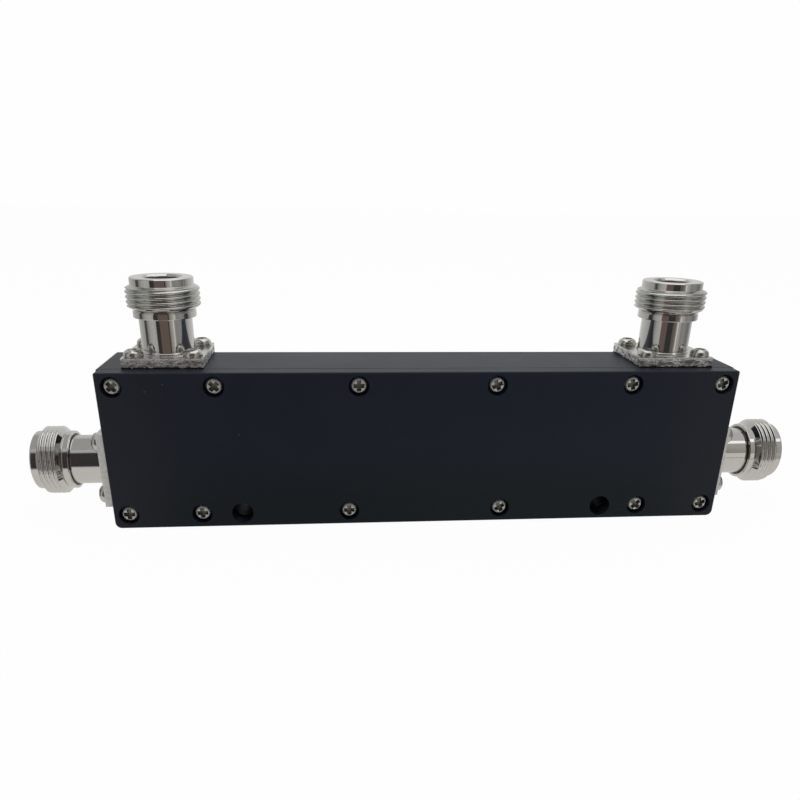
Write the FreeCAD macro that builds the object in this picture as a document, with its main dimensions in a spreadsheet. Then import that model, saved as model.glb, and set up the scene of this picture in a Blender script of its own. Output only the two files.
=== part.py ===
import FreeCAD, Part
import Sketcher
import os
import re

# Dual directional coupler, four type N panel jacks on a milled housing. Millimetres.
# Row frame: +Z up, the cover plate faces -Y, the main line runs along X.
# The origin is the middle of the lower narrow face, under the centre of the whole part.

doc = FreeCAD.newDocument("directional_coupler")
sheet = doc.addObject("Spreadsheet::Sheet", "sizes")

# Driving dimensions, one cell each
drivingSizes = [
    # housing and cover
    ("bodyLength", 144.4),        # housing block, end face to end face
    ("housingHeight", 36.2),
    ("bodyDepth", 17.6),          # housing block, joint face to back face
    ("coverThickness", 3.8),
    ("coverSetback", 0.45),       # the cover is this much shorter at each end
    ("lowerCornerRadius", 1.4),
    ("upperCornerRadius", 0.4),
    ("edgeBreak", 0.2),
    ("jointBreak", 0.15),         # chamfers along the joint of housing and cover
    # cavity
    ("endWall", 7.0),
    ("topWall", 5.8),
    ("floorWall", 6.4),
    ("groundSpacing", 12.0),      # cavity floor to the raised face of the cover
    ("millRadius", 3.0),          # corner radius left by the milling cutter
    ("lidClearance", 0.15),       # raised step of the cover to the cavity walls
    # cover screws and mounting holes
    ("upperRowInset", 3.1),
    ("lowerRowInset", 3.3),
    ("cornerScrewInset", 3.8),    # insets run from the housing's end faces
    ("upperOuterInset", 25.3),
    ("lowerOuterInset", 20.3),
    ("upperInnerOffset", 15.5),   # offsets run from the middle
    ("lowerInnerOffset", 18.0),
    ("counterboreDiameter", 4.6),
    ("counterboreDepth", 1.9),
    ("coverHoleDiameter", 2.3),
    ("coverScrewDiameter", 2.0),
    ("coverScrewLength", 7.0),
    ("coverHeadDiameter", 3.5),
    ("coverHeadHeight", 1.4),
    ("mountHoleInset", 29.5),
    ("mountHoleDiameter", 4.5),
    ("mountHoleRelief", 0.2),     # the cover's holes are this much wider all round
    # jack, heights from the flange's seating face
    ("flangeSide", 17.5),
    ("flangeThickness", 2.25),
    ("flangeCornerRadius", 0.9),
    ("flangeHoleSpacing", 12.7),
    ("flangeHoleDiameter", 2.8),
    ("baseStepDiameter", 12.0),
    ("baseStepHeight", 0.35),
    ("neckDiameter", 11.5),
    ("ringDiameter", 13.6),
    ("ringChamfer", 0.15),
    ("ringLow", 9.9),
    ("ringHigh", 11.2),
    ("undercutDiameter", 12.9),
    ("undercutWidth", 0.2),
    ("taperWidth", 0.95),         # runout of the thread towards the undercut
    ("threadDiameter", 15.88),
    ("threadTop", 16.1),
    ("collarChamfer", 0.6),
    ("collarDiameter", 13.6),
    ("jackHeight", 18.35),
    ("mouthDiameter", 8.1),
    ("mouthChamfer", 0.45),
    ("shoulderDepth", 9.0),       # mouth plane to the reference shoulder
    ("lineBoreDiameter", 7.0),    # outer conductor behind the shoulder
    ("insulatorDiameter", 7.8),
    ("insulatorNose", 0.8),       # narrow front part of the insulator
    ("contactDiameter", 3.04),
    ("waistDiameter", 2.1),
    ("contactRecess", 5.2),       # mouth plane to the contact's tip
    ("socketDiameter", 1.7),
    ("socketDepth", 3.6),
    ("slotWidth", 0.3),
    ("slotDepth", 3.1),
    ("spigotDiameter", 1.8),
    ("spigotLength", 3.5),
    ("fitGap", 0.02),             # radial gap of pressed and threaded fits
    ("flangeScrewDiameter", 2.5),
    ("flangeScrewLength", 6.0),
    ("flangeHeadDiameter", 4.3),
    ("flangeHeadHeight", 1.6),
    ("tapRunout", 0.6),           # drilled below the screw's end
    # where the jacks stand
    ("mainLineHeight", 12.6),
    ("topJackInset", 14.2),       # housing's end face to the axis of the top jack
    # lines
    ("lineThickness", 4.0),
    ("feedWidth", 6.4),
    ("outerWidth", 6.0),
    ("innerWidth", 5.6),
    ("outerGap", 4.0),
    ("innerGap", 1.8),
    ("innerHalfLength", 20.0),
    ("outerSectionInset", 22.3),  # housing's end face to the end of the outer section
    ("lineEndGap", 1.0),          # main line's end to the cavity's end wall
    ("coupledEndRise", 1.2),
    ("coupledEndMargin", 2.9),    # line beyond the top jack's axis
    ("supportOffset", 36.0),
    ("supportThickness", 4.0),
    ("supportGroove", 0.8),
    ("supportClearance", 0.05),
    # pan heads and their cross recess, as shares of the head's height or diameter
    ("crownShare", 0.08),
    ("headRoundShare", 0.62),
    ("recessDepthShare", 0.55),
    ("recessSpanShare", 0.7),
    ("recessWidthShare", 0.18),
]
for row, (alias, value) in enumerate(drivingSizes, start=1):
    sheet.set(f"A{row}", alias)
    sheet.set(f"B{row}", str(value))
    sheet.setAlias(f"B{row}", alias)
doc.recompute()
aliases = {alias for alias, value in drivingSizes}


def bound(formula):
    """Write a formula of size names as an expression on the sheet."""
    return re.sub(r"[A-Za-z]\w*", lambda word: "sizes." + word.group() if word.group() in aliases
                  else word.group(), formula)


def size(formula):
    """The present value of a formula of size names."""
    return float(sheet.evalExpression(bound(formula)))


# Formulas that several pieces share
halfDepth = "(bodyDepth + coverThickness) / 2"
lineAxisY = f"({halfDepth} - bodyDepth / 2)"
jointFaceY = f"({halfDepth} - bodyDepth)"
topJackOffset = "(bodyLength / 2 - topJackInset)"
outerHalfLength = "(bodyLength / 2 - outerSectionInset)"
cavityHalf = "(bodyLength / 2 - endWall)"
cavityTop = "(housingHeight - topWall)"
couplingHeight = "(mainLineHeight + feedWidth / 2 + outerGap / 2)"
coupledEndTop = f"({couplingHeight} + outerGap / 2 + outerWidth + coupledEndRise)"
mainHalf = f"({cavityHalf} - lineEndGap)"
coupledHalf = f"({topJackOffset} + coupledEndMargin)"
shoulderHeight = "(jackHeight - shoulderDepth)"
tipHeight = "(jackHeight - contactRecess)"
insulatorStep = f"({shoulderHeight} - insulatorNose)"
upperRowHeight = "(housingHeight - upperRowInset)"
planeNormals = {"XY_Plane": 1, "XZ_Plane": -1, "YZ_Plane": 1}
xAxis = FreeCAD.Vector(1, 0, 0)
yAxis = FreeCAD.Vector(0, 1, 0)
zAxis = FreeCAD.Vector(0, 0, 1)


def newBody(label):
    body = doc.addObject("PartDesign::Body", label)
    body.Label = label
    return body


def newSketch(body, plane, height="0"):
    """A sketch on one of the body's own planes, at a height along the positive row axis."""
    sketch = body.newObject("Sketcher::SketchObject", "sketch")
    support = [item for item in body.Origin.OriginFeatures if item.Role == plane][0]
    sketch.AttachmentSupport = (support, "")
    sketch.MapMode = "FlatFace"
    sketch.setExpression(".AttachmentOffset.Base.z", bound(f"{planeNormals[plane]} * ({height})"))
    return sketch


def fixPoint(sketch, geometry, end, x, y):
    """Tie one point of a sketch to the formulas of its two coordinates."""
    for kind, formula in (("DistanceX", x), ("DistanceY", y)):
        index = sketch.addConstraint(Sketcher.Constraint(kind, -1, 1, geometry, end, size(formula)))
        sketch.setExpression(f"Constraints[{index}]", bound(formula))


def addOutline(sketch, corners):
    """A closed outline of straight lines through corners given as pairs of formulas."""
    points = [FreeCAD.Vector(size(x), size(y), 0) for x, y in corners]
    first = sketch.GeometryCount
    for start, stop in zip(points, points[1:] + points[:1]):
        sketch.addGeometry(Part.LineSegment(start, stop), False)
    count = len(points)
    for step in range(count):
        following = first + (step + 1) % count
        sketch.addConstraint(Sketcher.Constraint("Coincident", first + step, 2, following, 1))
    for step, (x, y) in enumerate(corners):
        fixPoint(sketch, first + step, 1, x, y)


def addRectangle(sketch, left, right, low, high):
    addOutline(sketch, [(left, low), (right, low), (right, high), (left, high)])


def addCircles(sketch, centres, diameter):
    for x, y in centres:
        middle = FreeCAD.Vector(size(x), size(y), 0)
        index = sketch.addGeometry(Part.Circle(middle, FreeCAD.Vector(0, 0, 1), size(diameter) / 2), False)
        fixPoint(sketch, index, 3, x, y)
        dimension = sketch.addConstraint(Sketcher.Constraint("Diameter", index, size(diameter)))
        sketch.setExpression(f"Constraints[{dimension}]", bound(diameter))


def addFeature(body, kind, sketch, length=None, reverse=False, middle=False, throughAll=False):
    """A pad or pocket of a sketch by a length formula."""
    feature = body.newObject("PartDesign::" + kind, kind.lower())
    feature.Profile = sketch
    feature.Reversed = reverse
    if middle:
        feature.Midplane = True
    if throughAll:
        feature.Type = "ThroughAll"
    else:
        feature.setExpression("Length", bound(length))
    sketch.Visibility = False
    doc.recompute()
    return feature


def addRound(body, kind, sketch):
    """A full revolution or groove about the body's Z axis."""
    feature = body.newObject("PartDesign::" + kind, kind.lower())
    feature.Profile = sketch
    axis = [item for item in body.Origin.OriginFeatures if item.Role == "Z_Axis"][0]
    feature.ReferenceAxis = (axis, [""])
    feature.Angle = 360
    doc.recompute()
    return feature


def dressEdges(body, kind, base, edges, amount):
    """A fillet or chamfer of the named edges, its size bound to a formula."""
    feature = body.newObject("PartDesign::" + kind, kind.lower())
    feature.Base = (base, edges)
    feature.setExpression("Radius" if kind == "Fillet" else "Size", bound(amount))
    doc.recompute()
    return feature


def edgesWhere(feature, test, along=None):
    """Names of the edges whose two ends pass a test of their position, running one way if asked."""
    names = []
    for number, edge in enumerate(feature.Shape.Edges, start=1):
        if len(edge.Vertexes) != 2 or not all(test(vertex.Point) for vertex in edge.Vertexes):
            continue
        if along is None or abs(edge.tangentAt(edge.FirstParameter).dot(along)) > 0.9:
            names.append(f"Edge{number}")
    return names


def near(value, formula):
    return abs(value - size(formula)) < 1e-4


def rimEdges(feature, radius, height):
    """Names of the full circles of one radius at one height about the Z axis."""
    names = []
    for number, edge in enumerate(feature.Shape.Edges, start=1):
        curve = edge.Curve
        if isinstance(curve, Part.Circle) and near(curve.Radius, radius) and near(curve.Center.z, height):
            names.append(f"Edge{number}")
    return names


def depthEdges(feature, x, z):
    """Edges that run in depth at plus or minus x and at height z."""
    return edgesWhere(feature, lambda point: near(abs(point.x), x) and near(point.z, z), yAxis)


# Places of the screws and holes that body and cover share, as (x, z) formulas
screwPlaces = []
endInset = "(bodyLength / 2 - {})"
for sign in ("-", ""):
    for offset in (endInset.format("cornerScrewInset"), endInset.format("upperOuterInset"), "upperInnerOffset"):
        screwPlaces.append((f"{sign}{offset}", upperRowHeight))
    for offset in (endInset.format("cornerScrewInset"), endInset.format("lowerOuterInset"), "lowerInnerOffset"):
        screwPlaces.append((f"{sign}{offset}", "lowerRowInset"))
mountPlaces = [(sign + endInset.format("mountHoleInset"), "lowerRowInset") for sign in ("-", "")]
flangeCorners = [(a, b) for a in ("-", "+") for b in ("-", "+")]


def makeHousing():
    """The milled block: cavity, grooves for the supports, bores and tapped holes."""
    body = newBody("housing_body")
    sketch = newSketch(body, "XZ_Plane", jointFaceY)
    addRectangle(sketch, "-bodyLength / 2", "bodyLength / 2", "0", "housingHeight")
    block = addFeature(body, "Pad", sketch, "bodyDepth", reverse=True)
    lower = dressEdges(body, "Fillet", block, depthEdges(block, "bodyLength / 2", "0"), "lowerCornerRadius")
    upper = dressEdges(body, "Fillet", lower, depthEdges(lower, "bodyLength / 2", "housingHeight"),
                       "upperCornerRadius")
    backEdges = edgesWhere(upper, lambda point: near(point.y, halfDepth))
    back = dressEdges(body, "Chamfer", upper, backEdges, "edgeBreak")
    jointEdges = edgesWhere(back, lambda point: near(point.y, jointFaceY))
    dressEdges(body, "Chamfer", back, jointEdges, "jointBreak")

    cavityDepth = "(bodyDepth / 2 + groundSpacing / 2)"
    sketch = newSketch(body, "XZ_Plane", jointFaceY)
    addRectangle(sketch, f"-{cavityHalf}", cavityHalf, "floorWall", cavityTop)
    cavity = addFeature(body, "Pocket", sketch, cavityDepth)
    corners = depthEdges(cavity, cavityHalf, "floorWall") + depthEdges(cavity, cavityHalf, cavityTop)
    dressEdges(body, "Fillet", cavity, corners, "millRadius")

    sketch = newSketch(body, "XZ_Plane", jointFaceY)
    for sign in ("-", "+"):
        middle = f"{sign}supportOffset"
        addRectangle(sketch, f"{middle} - supportThickness / 2 - supportClearance",
                     f"{middle} + supportThickness / 2 + supportClearance",
                     "floorWall - supportGroove", f"{cavityTop} + supportGroove")
    addFeature(body, "Pocket", sketch, cavityDepth)

    sketch = newSketch(body, "XZ_Plane", jointFaceY)
    addCircles(sketch, screwPlaces, "coverScrewDiameter + 2 * fitGap")
    addFeature(body, "Pocket", sketch, "coverScrewLength - coverThickness + counterboreDepth + tapRunout")
    sketch = newSketch(body, "XZ_Plane", jointFaceY)
    addCircles(sketch, mountPlaces, "mountHoleDiameter")
    addFeature(body, "Pocket", sketch, throughAll=True)

    # bores and tapped holes of the jacks: top face first, then the two ends
    tapDepth = "flangeScrewLength - flangeThickness + tapRunout"
    tapDiameter = "flangeScrewDiameter + 2 * fitGap"
    reach = "flangeHoleSpacing / 2"
    sketch = newSketch(body, "XY_Plane", "housingHeight")
    addCircles(sketch, [(f"{sign}{topJackOffset}", lineAxisY) for sign in ("-", "+")], "lineBoreDiameter")
    addFeature(body, "Pocket", sketch, "topWall + lineEndGap")
    sketch = newSketch(body, "XY_Plane", "housingHeight")
    addCircles(sketch, [(f"{sign}{topJackOffset} {a} {reach}", f"{lineAxisY} {b} {reach}")
                        for sign in ("-", "+") for a, b in flangeCorners], tapDiameter)
    addFeature(body, "Pocket", sketch, tapDepth)
    for sign in ("-", "+"):
        sketch = newSketch(body, "YZ_Plane", f"{sign}bodyLength / 2")
        addCircles(sketch, [(lineAxisY, "mainLineHeight")], "lineBoreDiameter")
        addFeature(body, "Pocket", sketch, "endWall + lineEndGap", reverse=sign == "-")
        sketch = newSketch(body, "YZ_Plane", f"{sign}bodyLength / 2")
        addCircles(sketch, [(f"{lineAxisY} {a} {reach}", f"mainLineHeight {b} {reach}")
                            for a, b in flangeCorners], tapDiameter)
        addFeature(body, "Pocket", sketch, tapDepth, reverse=sign == "-")
    return body


def makeCover():
    """The front plate, with a raised step behind that fits the cavity and sets its depth."""
    body = newBody("cover_plate")
    half = "(bodyLength / 2 - coverSetback)"
    sketch = newSketch(body, "XZ_Plane", jointFaceY)
    addRectangle(sketch, f"-{half}", half, "0", "housingHeight")
    plate = addFeature(body, "Pad", sketch, "coverThickness")
    lower = dressEdges(body, "Fillet", plate, depthEdges(plate, half, "0"), "lowerCornerRadius")
    upper = dressEdges(body, "Fillet", lower, depthEdges(lower, half, "housingHeight"), "upperCornerRadius")
    frontEdges = edgesWhere(upper, lambda point: near(point.y, f"-{halfDepth}"))
    front = dressEdges(body, "Chamfer", upper, frontEdges, "edgeBreak")
    jointEdges = edgesWhere(front, lambda point: near(point.y, jointFaceY))
    dressEdges(body, "Chamfer", front, jointEdges, "jointBreak")

    sketch = newSketch(body, "XZ_Plane", jointFaceY)
    stepHalf = f"({cavityHalf} - lidClearance)"
    stepLow = "(floorWall + lidClearance)"
    stepHigh = f"({cavityTop} - lidClearance)"
    addRectangle(sketch, f"-{stepHalf}", stepHalf, stepLow, stepHigh)
    step = addFeature(body, "Pad", sketch, "bodyDepth / 2 - groundSpacing / 2", reverse=True)
    corners = depthEdges(step, stepHalf, stepLow) + depthEdges(step, stepHalf, stepHigh)
    dressEdges(body, "Fillet", step, corners, "millRadius")

    frontFace = f"-{halfDepth}"
    for diameter, depth, places in (("counterboreDiameter", "counterboreDepth", screwPlaces),
                                    ("coverHoleDiameter", "coverThickness", screwPlaces),
                                    ("mountHoleDiameter + 2 * mountHoleRelief", "coverThickness",
                                     mountPlaces)):
        sketch = newSketch(body, "XZ_Plane", frontFace)
        addCircles(sketch, places, diameter)
        addFeature(body, "Pocket", sketch, depth)
    return body


def makeShell(label):
    """Jack shell turned from one piece: flange, neck, ring, thread land, collar and stepped bore."""
    body = newBody(label)
    sketch = newSketch(body, "XY_Plane")
    side = "flangeSide / 2"
    addRectangle(sketch, f"-{side}", side, f"-{side}", side)
    flange = addFeature(body, "Pad", sketch, "flangeThickness")
    upright = edgesWhere(flange, lambda point: near(abs(point.x), side), zAxis)
    dressEdges(body, "Fillet", flange, upright, "flangeCornerRadius")

    sketch = newSketch(body, "XZ_Plane")
    undercutTop = "ringHigh + undercutWidth"
    addOutline(sketch, [
        ("0", "0"),
        ("baseStepDiameter / 2", "0"),
        ("baseStepDiameter / 2", "flangeThickness + baseStepHeight"),
        ("neckDiameter / 2", "flangeThickness + baseStepHeight"),
        ("neckDiameter / 2", "ringLow"),
        ("ringDiameter / 2 - ringChamfer", "ringLow"),
        ("ringDiameter / 2", "ringLow + ringChamfer"),
        ("ringDiameter / 2", "ringHigh - ringChamfer"),
        ("ringDiameter / 2 - ringChamfer", "ringHigh"),
        ("undercutDiameter / 2", "ringHigh"),
        ("undercutDiameter / 2", undercutTop),
        ("threadDiameter / 2", f"{undercutTop} + taperWidth"),
        ("threadDiameter / 2", "threadTop"),
        ("collarDiameter / 2", "threadTop + collarChamfer"),
        ("collarDiameter / 2", "jackHeight - edgeBreak"),
        ("collarDiameter / 2 - edgeBreak", "jackHeight"),
        ("0", "jackHeight"),
    ])
    addRound(body, "Revolution", sketch)

    sketch = newSketch(body, "XZ_Plane")
    addOutline(sketch, [
        ("0", "0"),
        ("insulatorDiameter / 2", "0"),
        ("insulatorDiameter / 2", insulatorStep),
        ("lineBoreDiameter / 2", insulatorStep),
        ("lineBoreDiameter / 2", shoulderHeight),
        ("mouthDiameter / 2", shoulderHeight),
        ("mouthDiameter / 2", "jackHeight - mouthChamfer"),
        ("mouthDiameter / 2 + mouthChamfer", "jackHeight"),
        ("0", "jackHeight"),
    ])
    addRound(body, "Groove", sketch)

    sketch = newSketch(body, "XY_Plane", "flangeThickness")
    reach = "flangeHoleSpacing / 2"
    addCircles(sketch, [(f"{a}{reach}", f"{b}{reach}") for a, b in flangeCorners], "flangeHoleDiameter")
    addFeature(body, "Pocket", sketch, "flangeThickness")
    return body


def makeInsulator(label):
    """Stepped plastic bead, held between the shell's inner step and the housing wall."""
    body = newBody(label)
    sketch = newSketch(body, "XZ_Plane")
    hole = "waistDiameter / 2 + fitGap"
    wide = "insulatorDiameter / 2 - fitGap"
    narrow = "lineBoreDiameter / 2 - fitGap"
    addOutline(sketch, [
        (hole, "0"),
        (wide, "0"),
        (wide, insulatorStep),
        (narrow, insulatorStep),
        (narrow, shoulderHeight),
        (hole, shoulderHeight),
    ])
    addRound(body, "Revolution", sketch)
    return body


def makeContact(label, rearLength):
    """Centre contact: slotted spring socket, waist in the insulator, rear pin with a spigot."""
    body = newBody(label)
    sketch = newSketch(body, "XZ_Plane")
    wide = "contactDiameter / 2"
    narrow = "waistDiameter / 2"
    spigot = "spigotDiameter / 2"
    socket = "socketDiameter / 2"
    tipChamfer = "slotWidth / 2"
    addOutline(sketch, [
        ("0", f"-{rearLength} - spigotLength"),
        (spigot, f"-{rearLength} - spigotLength"),
        (spigot, f"-{rearLength}"),
        (wide, f"-{rearLength}"),
        (wide, "0"),
        (narrow, "0"),
        (narrow, shoulderHeight),
        (wide, shoulderHeight),
        (wide, f"{tipHeight} - {tipChamfer}"),
        (f"{wide} - {tipChamfer}", tipHeight),
        (socket, tipHeight),
        (socket, f"{tipHeight} - socketDepth"),
        ("0", f"{tipHeight} - socketDepth"),
    ])
    addRound(body, "Revolution", sketch)
    for plane in ("XZ_Plane", "YZ_Plane"):
        sketch = newSketch(body, plane)
        addRectangle(sketch, "-slotWidth / 2", "slotWidth / 2", f"{tipHeight} - slotDepth",
                     f"{tipHeight} + slotWidth")
        addFeature(body, "Pocket", sketch, "contactDiameter", middle=True)
    return body


def makeScrew(label, diameter, length, headDiameter, headHeight):
    """Pan head screw with a rounded crown and a cross recess, its head standing on the XY plane."""
    body = newBody(label)
    sketch = newSketch(body, "XZ_Plane")
    rim = f"({headHeight} - crownShare * {headDiameter} / 2)"
    addOutline(sketch, [
        ("0", f"-{length}"),
        (f"{diameter} / 2 - edgeBreak", f"-{length}"),
        (f"{diameter} / 2", f"-{length} + edgeBreak"),
        (f"{diameter} / 2", "0"),
        (f"{headDiameter} / 2", "0"),
        (f"{headDiameter} / 2", rim),
        ("0", headHeight),
    ])
    turned = addRound(body, "Revolution", sketch)
    rims = rimEdges(turned, f"{headDiameter} / 2", rim)
    dressEdges(body, "Fillet", turned, rims, f"headRoundShare * {headHeight}")
    sketch = newSketch(body, "XY_Plane", headHeight)
    reach = f"recessSpanShare * {headDiameter} / 2"
    arm = f"recessWidthShare * {headDiameter} / 2"
    addOutline(sketch, [
        (reach, f"-{arm}"), (reach, arm), (arm, arm),
        (arm, reach), (f"-{arm}", reach), (f"-{arm}", arm),
        (f"-{reach}", arm), (f"-{reach}", f"-{arm}"), (f"-{arm}", f"-{arm}"),
        (f"-{arm}", f"-{reach}"), (arm, f"-{reach}"), (arm, f"-{arm}"),
    ])
    addFeature(body, "Pocket", sketch, f"recessDepthShare * {headHeight}")
    return body


def makeMainLine():
    """Main line bar: wide feeds, a step closer to the coupled line in the middle."""
    body = newBody("main_line")
    outerTop = f"({couplingHeight} - outerGap / 2)"
    innerTop = f"({couplingHeight} - innerGap / 2)"
    feedLow = "mainLineHeight - feedWidth / 2"
    right = [
        ("innerHalfLength", f"{innerTop} - innerWidth"),
        ("innerHalfLength", f"{outerTop} - outerWidth"),
        (outerHalfLength, f"{outerTop} - outerWidth"),
        (outerHalfLength, feedLow),
        (mainHalf, feedLow),
        (mainHalf, outerTop),
        ("innerHalfLength", outerTop),
        ("innerHalfLength", innerTop),
    ]
    left = [(f"-{x}", z) for x, z in reversed(right)]
    sketch = newSketch(body, "XZ_Plane", lineAxisY)
    addOutline(sketch, right + left)
    addFeature(body, "Pad", sketch, "lineThickness", middle=True)
    for sign in ("-", "+"):
        sketch = newSketch(body, "YZ_Plane", f"{sign}{mainHalf}")
        addCircles(sketch, [(lineAxisY, "mainLineHeight")], "spigotDiameter + 2 * fitGap")
        addFeature(body, "Pocket", sketch, "spigotLength + fitGap", reverse=sign == "-")
    return body


def makeCoupledLine():
    """Coupled line bar: the main line's steps mirrored, with raised ends under the top jacks."""
    body = newBody("coupled_line")
    outerLow = f"({couplingHeight} + outerGap / 2)"
    innerLow = f"({couplingHeight} + innerGap / 2)"
    right = [
        ("innerHalfLength", innerLow),
        ("innerHalfLength", outerLow),
        (outerHalfLength, outerLow),
        (outerHalfLength, f"{outerLow} + coupledEndRise"),
        (coupledHalf, f"{outerLow} + coupledEndRise"),
        (coupledHalf, coupledEndTop),
        (outerHalfLength, coupledEndTop),
        (outerHalfLength, f"{outerLow} + outerWidth"),
        ("innerHalfLength", f"{outerLow} + outerWidth"),
        ("innerHalfLength", f"{innerLow} + innerWidth"),
    ]
    left = [(f"-{x}", z) for x, z in reversed(right)]
    sketch = newSketch(body, "XZ_Plane", lineAxisY)
    addOutline(sketch, right + left)
    addFeature(body, "Pad", sketch, "lineThickness", middle=True)
    sketch = newSketch(body, "XY_Plane", coupledEndTop)
    addCircles(sketch, [(f"{sign}{topJackOffset}", lineAxisY) for sign in ("-", "+")],
               "spigotDiameter + 2 * fitGap")
    addFeature(body, "Pocket", sketch, "spigotLength + fitGap")
    return body


def makeSupport(label, sign):
    """Insulating comb that stands in grooves of the cavity and holds both bars in its slots."""
    body = newBody(label)
    front = f"({lineAxisY} - groundSpacing / 2 + supportClearance)"
    back = f"({lineAxisY} + groundSpacing / 2)"
    slotFloor = f"({lineAxisY} + lineThickness / 2)"
    low = "floorWall - supportGroove + supportClearance"
    high = f"{cavityTop} + supportGroove - supportClearance"
    mainHigh = f"{couplingHeight} - outerGap / 2 + fitGap"
    mainLow = f"{couplingHeight} - outerGap / 2 - outerWidth - fitGap"
    coupledLow = f"{couplingHeight} + outerGap / 2 - fitGap"
    coupledHigh = f"{couplingHeight} + outerGap / 2 + outerWidth + fitGap"
    sketch = newSketch(body, "YZ_Plane", f"{sign}supportOffset")
    addOutline(sketch, [
        (front, low), (back, low), (back, high), (front, high),
        (front, coupledHigh), (slotFloor, coupledHigh), (slotFloor, coupledLow), (front, coupledLow),
        (front, mainHigh), (slotFloor, mainHigh), (slotFloor, mainLow), (front, mainLow),
    ])
    addFeature(body, "Pad", sketch, "supportThickness", middle=True)
    return body


def copyGroup(label, master, places):
    """One node of separate solids: the master's shape at each (position, rotation)."""
    group = doc.addObject("Part::Feature", label)
    group.Label = label
    copies = []
    for position, rotation in places:
        copy = master.Shape.copy()
        copy.Placement = FreeCAD.Placement(position, rotation)
        copies.append(copy)
    group.Shape = Part.makeCompound(copies)
    return group


nodes = [makeHousing(), makeCover(), makeMainLine(), makeCoupledLine()]
nodes.append(makeSupport("line_support_left", "-"))
nodes.append(makeSupport("line_support_right", "+"))

# Cover screws: heads on the counterbore floors, each turned differently
coverScrew = makeScrew("cover_screw_master", "coverScrewDiameter", "coverScrewLength",
                       "coverHeadDiameter", "coverHeadHeight")
seatY = size(f"-{halfDepth} + counterboreDepth")
facingFront = FreeCAD.Rotation(xAxis, 90)
recessTurn = 37                   # degrees from one screw to the next
coverPlaces = []
for number, (x, z) in enumerate(screwPlaces):
    spin = FreeCAD.Rotation(zAxis, recessTurn * number)
    coverPlaces.append((FreeCAD.Vector(size(x), seatY, size(z)), facingFront.multiply(spin)))
nodes.append(copyGroup("cover_screws", coverScrew, coverPlaces))

# Jacks: name, seating point, rotation from the jack's own +Z, rear length of the contact
flangeScrew = makeScrew("flange_screw_master", "flangeScrewDiameter", "flangeScrewLength",
                        "flangeHeadDiameter", "flangeHeadHeight")
topRear = f"(housingHeight - {coupledEndTop})"
endRear = "(endWall + lineEndGap)"
axisY = size(lineAxisY)
endX = size("bodyLength / 2")
endZ = size("mainLineHeight")
topX = size(topJackOffset)
topZ = size("housingHeight")
jacks = [
    ("left_end", FreeCAD.Vector(-endX, axisY, endZ), FreeCAD.Rotation(yAxis, -90), endRear),
    ("right_end", FreeCAD.Vector(endX, axisY, endZ), FreeCAD.Rotation(yAxis, 90), endRear),
    ("left_top", FreeCAD.Vector(-topX, axisY, topZ), FreeCAD.Rotation(zAxis, 0), topRear),
    ("right_top", FreeCAD.Vector(topX, axisY, topZ), FreeCAD.Rotation(zAxis, 0), topRear),
]
for place, seat, rotation, rear in jacks:
    for piece in (makeShell(f"jack_shell_{place}"), makeInsulator(f"insulator_{place}"),
                  makeContact(f"contact_{place}", rear)):
        piece.Placement = FreeCAD.Placement(seat, rotation)
        nodes.append(piece)
    reach = size("flangeHoleSpacing / 2")
    screwSeats = []
    for number, (a, b) in enumerate(flangeCorners):
        local = FreeCAD.Vector(float(a + "1") * reach, float(b + "1") * reach, size("flangeThickness"))
        spin = FreeCAD.Rotation(zAxis, recessTurn * number)
        screwSeats.append((seat + rotation.multVec(local), rotation.multiply(spin)))
    nodes.append(copyGroup(f"flange_screws_{place}", flangeScrew, screwSeats))
doc.recompute()

# Check the whole document, then write each node
for item in doc.Objects:
    if "Invalid" in item.State or "Error" in item.State:
        raise RuntimeError(f"{item.Name} failed: {item.State}")
os.makedirs("parts", exist_ok=True)
for node in nodes:
    shape = node.Shape
    if shape.isNull() or not shape.isValid():
        raise RuntimeError(f"{node.Label} has no valid shape")
    shape.exportStep(f"parts/{node.Label}.step")
    box = shape.BoundBox
    print(f"{node.Label}: {len(shape.Solids)} solid(s), {shape.Volume:.1f} mm3, "
          f"{box.XLength:.2f} x {box.YLength:.2f} x {box.ZLength:.2f}")
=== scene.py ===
import math

import bmesh
import bpy
from mathutils import Matrix, Vector


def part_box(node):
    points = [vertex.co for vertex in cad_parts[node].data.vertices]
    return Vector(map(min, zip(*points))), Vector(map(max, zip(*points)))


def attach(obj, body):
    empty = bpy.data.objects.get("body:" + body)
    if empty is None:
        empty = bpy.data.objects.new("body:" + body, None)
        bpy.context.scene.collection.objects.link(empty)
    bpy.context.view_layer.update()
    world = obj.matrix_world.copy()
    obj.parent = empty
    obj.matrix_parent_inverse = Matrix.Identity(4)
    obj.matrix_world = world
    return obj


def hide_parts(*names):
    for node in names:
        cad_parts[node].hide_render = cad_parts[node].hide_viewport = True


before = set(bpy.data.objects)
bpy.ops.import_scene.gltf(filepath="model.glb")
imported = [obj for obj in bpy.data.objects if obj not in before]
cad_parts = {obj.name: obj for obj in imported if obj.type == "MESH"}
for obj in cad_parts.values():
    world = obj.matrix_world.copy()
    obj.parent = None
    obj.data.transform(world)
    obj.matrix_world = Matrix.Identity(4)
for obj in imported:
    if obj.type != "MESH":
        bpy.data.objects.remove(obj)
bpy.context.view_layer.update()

# Directional coupler: black milled housing, four nickel plated type N jacks. Lengths in metres.
# The cover faces -Y, +Z is up, the housing stands on its lower narrow face.

mm = 0.001
sharpAngle = math.radians(30)       # sharper edges are rounded, and split in the shading
facing = 0.9                        # a face looks along Z when its normal has this share of it
mergeDistance = 0.002 * mm


# Small helpers for working in object and edit mode

def deselectAll():
    if bpy.context.object and bpy.context.object.mode != "OBJECT":
        bpy.ops.object.mode_set(mode="OBJECT")
    bpy.ops.object.select_all(action="DESELECT")


def makeActive(piece):
    deselectAll()
    piece.select_set(True)
    bpy.context.view_layer.objects.active = piece


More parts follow.
